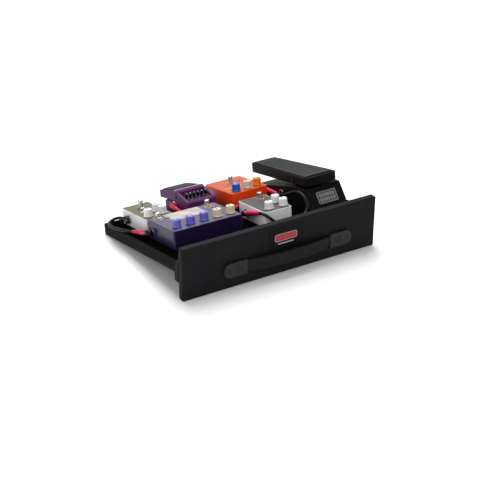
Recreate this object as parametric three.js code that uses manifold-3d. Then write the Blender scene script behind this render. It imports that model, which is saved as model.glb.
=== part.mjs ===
// A rack-width pedalboard: an upright front panel with a strap handle, a shallow board that slopes
// down behind it, six effects pedals on the board and the patch leads between them.
// Millimetres, +Z up, +X to the right along the panel, +Y from the panel to the low edge of the
// board. The origin is the middle of the panel's underside.
import * as THREE from 'three';
import { mergeVertices } from 'three/addons/utils/BufferGeometryUtils.js';
import Module from 'manifold-3d';

// ---------------------------------------------------------------- driving dimensions
const FIT = 0.3; // gap left between touching pieces
const PANEL = { width: 483, height: 118.5, thick: 17 };
const CLEAT = { bottom: 36, top: 80, thick: 17 };
const BOARD = { length: 328, rise: 56, ply: 12, frame: 13, rail: 20, carpet: 2, inset: 5 };
const TILT = Math.asin(BOARD.rise / BOARD.length); // the low edge meets the ground
const BOARD_FRONT = PANEL.thick / 2 + CLEAT.thick + FIT;
const DECK = BOARD.frame + BOARD.ply + BOARD.carpet; // top of the carpet above the frame's underside
const HANDLE = { x: 13, z: 44, half: 104.5, cap: 56.5, capHeight: 33, capThick: 7, strap: 28, bow: 11 };
const SHELL = { wall: 2.4, top: 3, corner: 4.5 };
const KNOB = { top: 9.1, foot: 10.3, height: 16.3, shaft: 3, lift: 1.2 };
const SWITCH = { cap: 5.6, stem: 4, travel: 2 };
const JACK = { hole: 4.6, shaft: 3.1 };
const LEAD = { radius: 3.4, sides: 8, straight: 3.5 };

// Pedals: x and y are the middle of the base on the board, turn is about the board's normal.
const PEDALS = {
  white: {
    x: -176.5, y: 233, turn: 0, width: 66, depth: 121, height: 34, color: 0x8d8b5c,
    knobs: [[-18, -42], [17, -42], [14, -19.5]], switches: [[-4, 21]], switchHeight: 21,
    jacks: [[-1, 26, 16], [1, 26, 16]],
  },
  purple: {
    x: -131, y: 99, turn: 0, width: 166, depth: 120, height: 39.5, color: 0x2a1650,
    knobs: [[-62, -36], [-29, -36], [3.5, -36], [36.5, -36], [68.5, -36]],
    switches: [[-63, 46], [58, 46]], switchHeight: 15,
    jacks: [[-1, 40, 16], [1, 40, 16]],
  },
  silver: {
    x: 33.4, y: 80, turn: -2.5, width: 68, depth: 116.5, height: 34, color: 0xb9bdc0,
    knobs: [[-11.5, -40], [23.5, -40], [22, -9]], switches: [[5.5, 30]], switchHeight: 19,
    jacks: [[-1, 24, 15], [1, 37, 15]],
  },
  orange: {
    x: 63, y: 250, turn: 2.2, width: 96, depth: 118, height: 35, color: 0xe0500f,
    knobs: [[-27, -43], [4.5, -43], [32, -40]], switches: [[-3, 17]], switchHeight: 19,
    jacks: [[1, -18, 19]],
  },
};
const EQ = { x: -54.5, y: 203, width: 73, length: 131, hinge: [53, 46.4], sliders: 6, pitch: 9.6 };
const EQ_FLOOR = { near: [5, 35.5], far: [48, 43.5] }; // the sunk panel under the sliders, side view
const WAH = { x: 176.5, y: 44, turn: 0.95, toe: 103, heel: 86, length: 254, pivot: [76, 56] };
const TREADLE = {
  toe: 86, heel: 67, near: 20.5, far: 262, topNear: 70.3, topFar: 60.8, skirtNear: 19.5, skirtFar: 21.5,
};

// Leads: places are on the board, x from its middle, y from its front edge, z above its underside.
// A plug runs from its jack to its elbow, then its grip runs from the elbow to the cord. head is the
// radius of its round head, where it is not the usual one.
const LEADS = {
  white_purple: {
    plugs: [
      { jack: [-209.5, 259, 43.3], elbow: [-216.2, 259, 43.3], tip: [-216.5, 278, 42.7], color: 0x151515,
        head: 9.4 },
      { jack: [-214, 139, 43.3], elbow: [-222.5, 139, 43.3], tip: [-228.5, 204, 32.6], color: 0xc0103c },
    ],
    route: [
      [-218.6, 291, 41.4], [-224.1, 296.5, 40], [-231.6, 298.5, 38.2], [-239.1, 296.5, 36.3],
      [-244.6, 291, 34.5], [-246.8, 283.5, 33], [-247, 274, 31.8], [-246, 261, 31.1],
      [-243.2, 248, 31], [-239.6, 234.5, 31], [-234.8, 222.5, 31], [-231.2, 214.5, 31.2],
    ],
  },
  orange_silver: {
    plugs: [
      { jack: [111.7, 233.9, 46.3], elbow: [119.6, 234, 46.3], tip: [118.6, 163, 47], color: 0xc0103c },
      { jack: [0.5, 105.5, 42.3], elbow: [-8.1, 105.8, 42.8], tip: [-8.4, 34, 59.6], color: 0xc0103c },
    ],
    route: [
      [118.6, 157, 47.2], [118.8, 144, 48.6], [119.2, 131, 51.5], [119.6, 118, 56], [119.9, 104, 61.6],
      [120, 90, 66.3], [120, 76, 68.2], [119.9, 62.5, 66.2], [119.6, 51.5, 60.6], [118.8, 44, 52.6],
      [116.6, 39.6, 44.2], [112.6, 36.6, 37.4], [106.8, 34, 33], [99.8, 30.6, 31.1], [92.5, 25.6, 30.9],
      [85, 19.6, 30.9], [76.5, 14.4, 30.9], [66.5, 11, 30.9], [54, 9.4, 30.9], [42, 9.1, 30.9],
      [33, 9, 31.5], [24, 9, 34], [15.8, 9, 38.4], [9, 9, 44.2], [2.9, 9.8, 50.4], [-2.5, 13.2, 56],
      [-6.5, 18.6, 59.8], [-8.3, 24.8, 61],
    ],
  },
  purple_silver: {
    plugs: [
      { jack: [-48, 139, 43.3], elbow: [-35, 139, 43.3], tip: [1, 144.5, 48], color: 0xc0103c },
      { jack: [69, 115.5, 42.3], elbow: [76.7, 115.2, 42.3], tip: [78.7, 148, 38], color: 0x151515 },
    ],
    route: [
      [8, 147.6, 47.2], [17, 152.6, 43.5], [27, 158, 38.4], [38, 163, 34], [49, 167, 31.4],
      [60, 169, 30.9], [69.5, 167, 32], [76, 161, 34.5], [78.7, 153.5, 36.9],
    ],
  },
  white_eq: {
    plugs: [
      { jack: [-143.5, 259, 43.3], elbow: [-134.9, 259, 43.3], tip: [-133.2, 210, 36], color: 0x151515 },
      { jack: [-91, 265, 47.3], elbow: [-99.6, 265, 47.3], tip: [-101, 212, 41], color: 0xc0103c },
    ],
    route: [
      [-133, 201.5, 34.2], [-131.6, 193, 32.4], [-127.4, 186.2, 31.2], [-120.6, 182.4, 30.9],
      [-112.9, 182.6, 31.4], [-106.4, 186.6, 32.8], [-102.4, 193.4, 35], [-101.1, 201.5, 38],
    ],
  },
};

// ---------------------------------------------------------------- solids
const wasm = await Module();
wasm.setup();

function toSolid(geometry) {
  const bare = geometry.clone();
  bare.deleteAttribute('normal');
  bare.deleteAttribute('uv');
  const merged = mergeVertices(bare, 1e-4);
  return new wasm.Manifold(new wasm.Mesh({
    numProp: 3,
    vertProperties: new Float32Array(merged.attributes.position.array),
    triVerts: new Uint32Array(merged.index.array),
  }));
}

function toGeometry(solid) {
  const mesh = solid.getMesh();
  const geometry = new THREE.BufferGeometry();
  geometry.setAttribute('position', new THREE.BufferAttribute(mesh.vertProperties, 3));
  geometry.setIndex(new THREE.BufferAttribute(mesh.triVerts, 1));
  return geometry;
}

function join(...geometries) {
  const solids = geometries.map(toSolid);
  return toGeometry(solids.reduce((whole, next) => whole.add(next)));
}

function cut(geometry, ...tools) {
  return toGeometry(tools.map(toSolid).reduce((whole, tool) => whole.subtract(tool), toSolid(geometry)));
}

// A box with its middle at x, y and its underside at z.
function block(width, depth, height, x = 0, y = 0, z = 0) {
  return new THREE.BoxGeometry(width, depth, height).translate(x, y, z + height / 2);
}

// A round or tapered bar from one point to another.
function bar(from, to, radiusFrom, radiusTo = radiusFrom, sides = 12) {
  const start = new THREE.Vector3(...from);
  const end = new THREE.Vector3(...to);
  const along = end.clone().sub(start);
  const geometry = new THREE.CylinderGeometry(radiusTo, radiusFrom, along.length(), sides);
  const turn = new THREE.Quaternion().setFromUnitVectors(
    new THREE.Vector3(0, 1, 0), along.clone().normalize());
  const middle = start.add(end).multiplyScalar(0.5);
  return geometry.applyQuaternion(turn).translate(middle.x, middle.y, middle.z);
}

// An outline of [y, z] points, extruded across x.
function sidePrism(points, width, x = 0) {
  const shape = new THREE.Shape(points.map(([y, z]) => new THREE.Vector2(y, z)));
  const geometry = new THREE.ExtrudeGeometry(shape, { depth: width, bevelEnabled: false });
  const basis = new THREE.Matrix4().makeBasis(
    new THREE.Vector3(0, 1, 0), new THREE.Vector3(0, 0, 1), new THREE.Vector3(1, 0, 0));
  return geometry.applyMatrix4(basis).translate(x - width / 2, 0, 0);
}

function roundedPlate(width, depth, height, radius, z = 0) {
  const shape = new THREE.Shape();
  const x = width / 2 - radius;
  const y = depth / 2 - radius;
  const quarter = Math.PI / 2;
  shape.absarc(x, y, radius, 0, quarter);
  shape.absarc(-x, y, radius, quarter, 2 * quarter);
  shape.absarc(-x, -y, radius, 2 * quarter, 3 * quarter);
  shape.absarc(x, -y, radius, 3 * quarter, 4 * quarter);
  const settings = { depth: height, bevelEnabled: false, curveSegments: 3 };
  return new THREE.ExtrudeGeometry(shape, settings).translate(0, 0, z);
}

// ---------------------------------------------------------------- the scene graph
const group = new THREE.Group();
const board = new THREE.Group();
board.position.set(0, BOARD_FRONT, BOARD.rise);
board.rotation.x = -TILT;
group.add(board);

function place(parent, name, geometry, color, roughness = 0.6, metalness = 0) {
  const mesh = new THREE.Mesh(geometry, new THREE.MeshStandardMaterial({ color, roughness, metalness }));
  mesh.name = name;
  parent.add(mesh);
  return mesh;
}

// ---------------------------------------------------------------- board
const VINYL = 0x202223;

// The board's front edges stand upright against the cleat, so they slant in the board's own frame.
function boardSlice(low, high, far = BOARD.length) {
  const slant = Math.tan(TILT);
  return [[-low * slant, low], [far, low], [far, high], [-high * slant, high]];
}

function buildBoard() {
  const half = PANEL.width / 2;
  place(group, 'front_panel', block(PANEL.width, PANEL.thick, PANEL.height), VINYL, 0.55);
  const cleatDepth = CLEAT.thick - FIT;
  const cleatY = PANEL.thick / 2 + FIT + cleatDepth / 2;
  const cleat = block(PANEL.width, cleatDepth, CLEAT.top - CLEAT.bottom, 0, cleatY, CLEAT.bottom);
  place(group, 'panel_cleat', cleat, VINYL, 0.55);
  const plyTop = BOARD.frame + BOARD.ply;
  place(board, 'deck_board', sidePrism(boardSlice(BOARD.frame + FIT, plyTop), PANEL.width), VINYL, 0.7);
  for (const [side, name] of [[-1, 'side_rail_left'], [1, 'side_rail_right']]) {
    const x = side * (half - BOARD.rail / 2);
    place(board, name, sidePrism(boardSlice(0, BOARD.frame), BOARD.rail, x), VINYL, 0.7);
  }
  const between = PANEL.width - 2 * BOARD.rail - 2 * FIT;
  const rear = block(between, BOARD.rail, BOARD.frame, 0, BOARD.length - BOARD.rail / 2);
  place(board, 'rear_rail', rear, VINYL, 0.7);
  const reach = BOARD.length - BOARD.inset;
  const carpet = block(PANEL.width - 2 * BOARD.inset, reach, BOARD.carpet - FIT, 0, reach / 2, plyTop + FIT);
  place(board, 'deck_carpet', carpet, 0x111214, 1);
}

// ---------------------------------------------------------------- handle
const CAP_FACE = -PANEL.thick / 2 - FIT; // the face of a cap that lies on the panel
const STRAP_LINE = CAP_FACE - HANDLE.capThick / 2; // the strap's middle where a cap holds it

function handleCap(side) {
  const outer = HANDLE.capHeight / 2;
  const inner = side * HANDLE.half;
  const end = side * (HANDLE.half + HANDLE.cap - outer);
  const shape = new THREE.Shape();
  const quarter = Math.PI / 2;
  shape.moveTo(inner, -outer);
  shape.lineTo(end, -outer);
  shape.absarc(end, 0, outer, -quarter, quarter, side < 0);
  shape.lineTo(inner, outer);
  const settings = { depth: HANDLE.capThick, bevelEnabled: false, curveSegments: 8 };
  const plate = new THREE.ExtrudeGeometry(shape, settings);
  plate.rotateX(quarter).translate(0, CAP_FACE, 0);
  const slot = block(80, 3.6, HANDLE.strap + 2 * FIT, side * HANDLE.half, STRAP_LINE,
    -HANDLE.strap / 2 - FIT);
  return cut(plate, slot);
}

function handleStrap() {
  const steps = 14;
  const tongue = HANDLE.half + 38;
  const grip = 3;
  const thin = 1.5;
  const clear = HANDLE.half - 1;
  const bowed = (x) => STRAP_LINE - HANDLE.bow * (1 - (x / HANDLE.half) ** 2);
  const edge = (offset, from) => Array.from({ length: steps + 1 }, (_, i) => {
    const x = from - (2 * from * i) / steps;
    return [x, bowed(x) + offset];
  });
  const points = [
    [-tongue, STRAP_LINE + thin], [-tongue, STRAP_LINE - thin], [-clear, STRAP_LINE - thin],
    ...edge(-grip, 4 - clear),
    [clear, STRAP_LINE - thin], [tongue, STRAP_LINE - thin], [tongue, STRAP_LINE + thin],
    [clear, STRAP_LINE + thin],
    ...edge(grip, clear - 4),
    [-clear, STRAP_LINE + thin],
  ];
  const shape = new THREE.Shape(points.map(([x, y]) => new THREE.Vector2(x, y)));
  const settings = { depth: HANDLE.strap, bevelEnabled: false };
  return new THREE.ExtrudeGeometry(shape, settings).translate(0, 0, -HANDLE.strap / 2);
}

function buildHandle() {
  const handle = new THREE.Group();
  handle.position.set(HANDLE.x, 0, HANDLE.z);
  group.add(handle);
  place(handle, 'handle_cap_left', handleCap(-1), 0x2a2c2d, 0.5);
  place(handle, 'handle_cap_right', handleCap(1), 0x2a2c2d, 0.5);
  place(handle, 'handle_strap', handleStrap(), 0x1d1f20, 0.6);
}

// ---------------------------------------------------------------- box pedals
function knob() {
  const cap = bar([0, 0, KNOB.lift], [0, 0, KNOB.lift + KNOB.height], KNOB.foot, KNOB.top, 12);
  const shaft = bar([0, 0, -9], [0, 0, KNOB.lift + 1], KNOB.shaft, KNOB.shaft, 8);
  return join(cap, shaft);
}

function footButton(height) {
  const cap = bar([0, 0, height - 6], [0, 0, height], SWITCH.cap, SWITCH.cap - 0.8, 12);
  const stem = bar([0, 0, -8], [0, 0, height - 5], SWITCH.stem, SWITCH.stem, 10);
  return join(cap, stem);
}

function stompShell(pedal) {
  const { width, depth, height } = pedal;
  const outer = roundedPlate(width, depth, height, SHELL.corner);
  const inside = SHELL.corner - SHELL.wall;
  const hollow = roundedPlate(width - 2 * SHELL.wall, depth - 2 * SHELL.wall,
    height - SHELL.top + 5, inside, -5);
  const through = (x, y, radius) => bar([x, y, height - 10], [x, y, height + 5], radius, radius, 10);
  const knobHoles = pedal.knobs.map(([x, y]) => through(x, y, KNOB.shaft + 0.6));
  const switchHoles = pedal.switches.map(([x, y]) => through(x, y, SWITCH.stem + 0.6));
  const jackHoles = pedal.jacks.map(([side, y, z]) => {
    const face = (side * width) / 2;
    return bar([face - side * 8, y, z], [face + side * 5, y, z], JACK.hole, JACK.hole, 10);
  });
  return cut(outer, hollow, ...knobHoles, ...switchHoles, ...jackHoles);
}

function onDeck(x, y, turn = 0) {
  const frame = new THREE.Group();
  frame.position.set(x, y, DECK + FIT);
  frame.rotation.z = THREE.MathUtils.degToRad(turn);
  board.add(frame);
  return frame;
}

function buildStompboxes() {
  for (const [name, pedal] of Object.entries(PEDALS)) {
    const frame = onDeck(pedal.x, pedal.y, pedal.turn);
    place(frame, `${name}_pedal_shell`, stompShell(pedal), pedal.color, 0.35, 0.3);
    pedal.knobs.forEach(([x, y], i) => {
      const mesh = place(frame, `${name}_knob_${i + 1}`, knob(), 0xe8e0cf, 0.4);
      mesh.position.set(x, y, pedal.height);
    });
    pedal.switches.forEach(([x, y], i) => {
      const button = footButton(pedal.switchHeight);
      const mesh = place(frame, `${name}_foot_button_${i + 1}`, button, 0xc8c4bc, 0.2, 1);
      mesh.position.set(x, y, pedal.height);
    });
  }
}

// ---------------------------------------------------------------- compact equaliser pedal
const EQ_PURPLE = 0x5c2f7c;

// Height of the treadle's top at a place along the pedal.
const eqTop = (y) => 54 - (13 * (y - 55)) / 76;
// Height of the treadle's lower edge there.
const eqSkirt = (y) => 31 - (7 * (y - 55)) / 76;

function eqCase() {
  const [hingeY, hingeZ] = EQ.hinge;
  const seat = 3.6; // room under the treadle's skirt for its travel
  const shoulder = (y) => eqSkirt(y) - seat;
  const body = sidePrism([
    [0, 0], [0, 35], [3, 38.5], [20, 43.5], [46, 50.5], [54, 50.5],
    [54, shoulder(54)], [108, shoulder(108)], [108, 0],
  ], EQ.width);
  const core = sidePrism([[50, 20], [50, 47], [58, 48], [106, 30], [106, 15]], EQ.width - 8);
  const hollow = sidePrism([[3, -5], [3, 30], [50, 38], [56, 38], [103, 18], [103, -5]], EQ.width - 12);
  const [nearY, nearZ] = EQ_FLOOR.near;
  const [farY, farZ] = EQ_FLOOR.far;
  const recess = sidePrism([[nearY, nearZ], [farY, farZ], [farY, 70], [nearY, 70]], EQ.width - 11);
  const slots = sliderPlaces().map((x) => sidePrism([[11, 25], [11, 60], [42, 60], [42, 25]], 2.2, x));
  const pin = bar([-60, hingeY, hingeZ], [60, hingeY, hingeZ], 2.3, 2.3, 12);
  const jack = bar([-EQ.width / 2 - 5, 62, 20], [-EQ.width / 2 + 9, 62, 20], JACK.hole, JACK.hole, 10);
  return cut(join(body, core), hollow, recess, ...slots, pin, jack);
}

function sliderPlaces() {
  return Array.from({ length: EQ.sliders }, (_, i) => (i - (EQ.sliders - 1) / 2) * EQ.pitch);
}

function eqTreadle() {
  const [hingeY, hingeZ] = EQ.hinge;
  const outer = sidePrism([[55, eqSkirt(55)], [131, eqSkirt(131)], [131, eqTop(131)], [55, eqTop(55)]],
    EQ.width);
  const ears = sidePrism([[hingeY - 3, hingeZ - 3], [57, hingeZ - 6], [57, eqTop(57)], [hingeY - 3, 51.5]],
    EQ.width);
  const hollow = sidePrism([[40, 0], [128.5, 0], [128.5, eqTop(128.5) - 3], [40, eqTop(40) - 3]],
    EQ.width - 6);
  const pin = bar([-60, hingeY, hingeZ], [60, hingeY, hingeZ], 2.3, 2.3, 12);
  const screw = bar([0, 120, 33], [0, 140, 33], 3.4, 3.4, 10);
  return cut(join(outer, ears), hollow, pin, screw);
}

function eqNotch() {
  // The case leaves the treadle's ears free beside the hinge.
  const [hingeY] = EQ.hinge;
  return [-1, 1].map((side) => block(3.6, 16, 40, side * (EQ.width / 2 - 1.4), hingeY + 3.6, 36));
}

function buildEqualiser() {
  const frame = onDeck(EQ.x, EQ.y);
  const [hingeY, hingeZ] = EQ.hinge;
  place(frame, 'eq_pedal_case', cut(eqCase(), ...eqNotch()), EQ_PURPLE, 0.35, 0.3);
  place(frame, 'eq_treadle', eqTreadle(), EQ_PURPLE, 0.35, 0.3);
  const padNear = 74;
  const padFar = 127;
  const lift = (y, z) => [y, eqTop(y) + z];
  const pad = sidePrism([lift(padNear, FIT), lift(padFar, FIT), lift(padFar, 2.2), lift(padNear, 2.2)],
    EQ.width - 9);
  place(frame, 'eq_rubber_pad', pad, 0x17181a, 0.9);
  const half = EQ.width / 2 - 0.3;
  place(frame, 'eq_hinge_pin', bar([-half, hingeY, hingeZ], [half, hingeY, hingeZ], 2, 2, 12),
    0x8a8a8a, 0.3, 1);
  place(frame, 'eq_thumbscrew', join(bar([0, 124, 33], [0, 132, 33], 3, 3, 10),
    bar([0, 131.3, 33], [0, 137, 33], 6, 6, 12)), 0x1b1b1b, 0.4);
  const [nearY, nearZ] = EQ_FLOOR.near;
  const [farY, farZ] = EQ_FLOOR.far;
  const slope = Math.atan2(farZ - nearZ, farY - nearY);
  const middleY = (nearY + farY) / 2;
  const middleZ = (nearZ + farZ) / 2;
  sliderPlaces().forEach((x, i) => {
    const cap = block(5.4, 6, 11, 0, 0, 1);
    const stem = block(1.2, 2.4, 8, 0, 0, -6);
    const mesh = place(frame, `eq_slider_${i + 1}`, join(cap, stem), 0x101010, 0.4);
    mesh.position.set(x, middleY, middleZ);
    mesh.rotation.x = slope;
  });
}

// ---------------------------------------------------------------- wah pedal
const WAH_BLACK = 0x1c1d1f;
const wahHalf = (y) => (WAH.toe - ((WAH.toe - WAH.heel) * y) / WAH.length) / 2;
const treadleHalf = (y) => {
  const share = (y - TREADLE.near) / (TREADLE.far - TREADLE.near);
  return (TREADLE.toe + (TREADLE.heel - TREADLE.toe) * share) / 2;
};
const treadleTop = (y) => {
  const share = (y - TREADLE.near) / (TREADLE.far - TREADLE.near);
  return TREADLE.topNear + (TREADLE.topFar - TREADLE.topNear) * share;
};

// A slab seen from above as a symmetric taper, between two heights.
function taperSlab(halfAt, near, far, low, high, inset = 0, corner = 0) {
  const shape = new THREE.Shape();
  const nearHalf = halfAt(near) - inset;
  const farHalf = halfAt(far) - inset;
  shape.moveTo(-nearHalf + corner, near);
  shape.lineTo(nearHalf - corner, near);
  shape.lineTo(nearHalf, near + corner);
  shape.lineTo(farHalf, far - corner);
  shape.lineTo(farHalf - corner, far);
  shape.lineTo(-farHalf + corner, far);
  shape.lineTo(-farHalf, far - corner);
  shape.lineTo(-nearHalf, near + corner);
  const settings = { depth: high - low, bevelEnabled: false };
  return new THREE.ExtrudeGeometry(shape, settings).translate(0, 0, low);
}

function keep(geometry, mask) {
  return toGeometry(toSolid(geometry).intersect(toSolid(mask)));
}

function wahHousing() {
  const [pivotY, pivotZ] = WAH.pivot;
  const outline = [[0, 0], [26, 45], [58, 45], [108, 38], [150, 31], [215, 19], [254, 9], [254, 0]];
  const outer = keep(taperSlab(wahHalf, 0, WAH.length, 0, 60, 0, 5), sidePrism(outline, 120));
  const inner = [[4, -5], [29, 41.5], [58, 41.5], [108, 34.5], [150, 27.5], [215, 15.5], [250, 6], [250, -5]];
  const hollow = keep(taperSlab(wahHalf, 3, WAH.length - 3, -5, 60, 3, 4), sidePrism(inner, 120));
  const lug = (side) => sidePrism([
    [pivotY - 9, 40], [pivotY - 5, pivotZ + 4], [pivotY + 5, pivotZ + 4], [pivotY + 12, 38],
  ], 7, side * 24);
  const pin = bar([-60, pivotY, pivotZ], [60, pivotY, pivotZ], 3.3, 3.3, 12);
  return cut(join(cut(outer, hollow), lug(-1), lug(1)), pin);
}

function wahTreadle() {
  const { near, far, skirtNear, skirtFar } = TREADLE;
  const [pivotY, pivotZ] = WAH.pivot;
  const drop = (y, depth) => [y, treadleTop(y) - depth];
  const outline = [drop(near, skirtNear), drop(far, skirtFar), drop(far, 0), drop(near, 0)];
  const outer = keep(taperSlab(treadleHalf, near, far, 30, 90, 0, 7), sidePrism(outline, 120));
  const cavity = [drop(near + 4, 40), drop(far - 4, 40), drop(far - 4, 4), drop(near + 4, 4)];
  const hollow = keep(taperSlab(treadleHalf, near + 4, far - 4, 10, 90, 3.5, 3), sidePrism(cavity, 120));
  const pin = bar([-60, pivotY, pivotZ], [60, pivotY, pivotZ], 3.3, 3.3, 12);
  return cut(outer, hollow, pin);
}

function buildWah() {
  const frame = onDeck(WAH.x, WAH.y, WAH.turn);
  const [pivotY, pivotZ] = WAH.pivot;
  place(frame, 'wah_housing', wahHousing(), WAH_BLACK, 0.6, 0.2);
  place(frame, 'wah_treadle', wahTreadle(), WAH_BLACK, 0.5, 0.2);
  const padNear = TREADLE.near + 10;
  const padFar = TREADLE.far - 10;
  const rise = (y, z) => [y, treadleTop(y) + z];
  const mask = sidePrism([rise(padNear, FIT), rise(padFar, FIT), rise(padFar, 2.8), rise(padNear, 2.8)], 120);
  const pad = keep(taperSlab(treadleHalf, padNear, padFar, 40, 90, 5, 5), mask);
  place(frame, 'wah_rubber_pad', pad, 0x26282a, 0.9);
  const half = treadleHalf(pivotY) - 0.3;
  place(frame, 'wah_pivot_pin', bar([-half, pivotY, pivotZ], [half, pivotY, pivotZ], 3, 3, 12),
    0x8a8a8a, 0.3, 1);
}

// ---------------------------------------------------------------- patch leads
// A plug: the shaft that goes into the jack, its round head and the moulded grip down to the cord.
function plug({ jack, elbow, tip, head = 6.8 }) {
  const out = new THREE.Vector3(...elbow).sub(new THREE.Vector3(...jack)).setY(0).setZ(0).normalize();
  const at = (distance) => [jack[0] + out.x * distance, jack[1], jack[2]];
  const grip = new THREE.Vector3(...tip).sub(new THREE.Vector3(...elbow));
  const middle = new THREE.Vector3(...elbow).addScaledVector(grip, 0.5).toArray();
  const reach = Math.abs(elbow[0] - jack[0]) + 2;
  return join(
    bar(at(-20), at(2), JACK.shaft, JACK.shaft, 10),
    bar(at(0.6), at(reach + 3), head, head * 0.92, 12),
    bar(elbow, middle, 4.6, 5.4, 10),
    bar(middle, tip, 5.4, 4, 10),
  );
}

// A cord leaves each grip square on, after the usual gap, and runs straight for a few millimetres.
function leaving({ elbow, tip }) {
  const along = new THREE.Vector3(...tip).sub(new THREE.Vector3(...elbow)).normalize();
  return [FIT, LEAD.straight].map((distance) => new THREE.Vector3(...tip).addScaledVector(along, distance));
}

function cord({ plugs: [first, last], route }) {
  const between = route.map((p) => new THREE.Vector3(...p));
  const points = [...leaving(first), ...between, ...leaving(last).reverse()];
  const path = new THREE.CatmullRomCurve3(points, false, 'centripetal');
  const shape = new THREE.Shape();
  for (let i = 0; i < LEAD.sides; i += 1) {
    const angle = (2 * Math.PI * i) / LEAD.sides;
    const corner = [LEAD.radius * Math.cos(angle), LEAD.radius * Math.sin(angle)];
    if (i === 0) shape.moveTo(...corner);
    else shape.lineTo(...corner);
  }
  const steps = Math.min(80, Math.round(path.getLength() / (4.4 * LEAD.radius)));
  return new THREE.ExtrudeGeometry(shape, { steps, extrudePath: path, bevelEnabled: false });
}

function buildLeads() {
  for (const [name, lead] of Object.entries(LEADS)) {
    lead.plugs.forEach((item, i) => {
      place(board, `lead_${name}_plug_${i + 1}`, plug(item), item.color, 0.4);
    });
    place(board, `lead_${name}_cord`, cord(lead), 0x16171a, 0.6);
  }
}

buildBoard();
buildHandle();
buildStompboxes();
buildEqualiser();
buildWah();
buildLeads();

export default group;
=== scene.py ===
"""Looks of the pedalboard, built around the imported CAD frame.
Shapes are in millimetres until put() scales them."""
import math

import bmesh
import bpy
from mathutils import Matrix, Vector, noise


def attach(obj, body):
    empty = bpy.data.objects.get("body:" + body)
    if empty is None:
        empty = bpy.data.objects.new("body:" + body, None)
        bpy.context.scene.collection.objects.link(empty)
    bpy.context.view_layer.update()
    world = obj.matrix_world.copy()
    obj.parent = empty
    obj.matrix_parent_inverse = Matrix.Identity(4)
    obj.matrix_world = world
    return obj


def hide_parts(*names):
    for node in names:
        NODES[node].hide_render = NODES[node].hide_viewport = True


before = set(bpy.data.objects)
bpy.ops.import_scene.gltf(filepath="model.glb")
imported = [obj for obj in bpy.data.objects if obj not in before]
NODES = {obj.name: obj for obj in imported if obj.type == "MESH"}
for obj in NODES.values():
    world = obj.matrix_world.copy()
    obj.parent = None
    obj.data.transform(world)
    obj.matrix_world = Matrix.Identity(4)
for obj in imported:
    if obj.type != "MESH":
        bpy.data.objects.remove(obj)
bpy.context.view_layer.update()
MM = 0.001

# ---------------------------------------------------------------- places, as in the CAD source
BOARD_RISE, BOARD_DEPTH, BOARD_FRONT = 56, 328, 25.8
DECK = 27.3  # where the pedals stand, above the board's underside
BOARD = (Matrix.Translation(Vector((0, BOARD_FRONT, BOARD_RISE)) * MM)
         @ Matrix.Rotation(-math.asin(BOARD_RISE / BOARD_DEPTH), 4, "X"))
PANEL_FACE = -8.5
HANDLE = dict(x=13, z=44, gap=0.3, half=104.5, cap=56.5, height=33, bow=11)
EMBLEM_X, EMBLEM_Z = 7, 82


def on_deck(x, y, turn=0.0):
    """The frame of a pedal: its middle on the deck, with its own turn."""
    place = Matrix.Translation(Vector((x, y, DECK)) * MM)
    return BOARD @ place @ Matrix.Rotation(math.radians(turn), 4, "Z")


PEDALS = {
    "white": dict(at=on_deck(-176.5, 233), size=(66, 121, 34), button=21,
                  knobs=[(-18, -42), (17, -42), (14, -19.5)], switches=[(-4, 21)]),
    "purple": dict(at=on_deck(-131, 99), size=(166, 120, 39.5), button=15,
                   knobs=[(-62, -36), (-29, -36), (3.5, -36), (36.5, -36), (68.5, -36)],
                   switches=[(-63, 46), (58, 46)]),
    "silver": dict(at=on_deck(33.4, 80, -2.5), size=(68, 116.5, 34), button=19,
                   knobs=[(-11.5, -40), (23.5, -40), (22, -9)], switches=[(5.5, 30)]),
    "orange": dict(at=on_deck(63, 250, 2.2), size=(96, 118, 35), button=19,
                   knobs=[(-27, -43), (4.5, -43), (32, -40)], switches=[(-3, 17)]),
}
EQ_AT = on_deck(-54.5, 203)
EQ_WIDTH = 73
EQ_HINGE = (53, 46.4)  # (y, z) of the treadle's hinge
EQ_TREADLE = dict(near=55, far=131, top_near=54, top_far=41)
EQ_PANEL_LOW, EQ_PANEL_HIGH = (5, 35.5), (48, 43.5)  # (y, z) ends of the slope that holds the sliders
EQ_PITCH = 9.6  # from one slider to the next
WAH_AT = on_deck(176.5, 44, 0.95)
WAH = dict(toe=103, heel=86, length=254, pivot=(76, 56), jack=(113, 22))
TREADLE = dict(toe=86, heel=67, near=20.5, far=262, top_near=70.3, top_far=60.8)

# ---------------------------------------------------------------- camera
camera = bpy.data.objects.new("camera", bpy.data.cameras.new("camera"))
bpy.context.scene.collection.objects.link(camera)
camera.data.lens, camera.data.sensor_width, camera.data.clip_end = 89.67, 36, 50
camera.location = (-1.2467, -1.8506, 1.2266)
look = Vector((0.4676, 0.7551, -0.4594)).to_track_quat("-Z", "Y").to_matrix().to_4x4()
camera.rotation_euler = (look @ Matrix.Rotation(math.radians(0.13), 4, "Z")).to_euler()
bpy.context.scene.camera = camera


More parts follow.
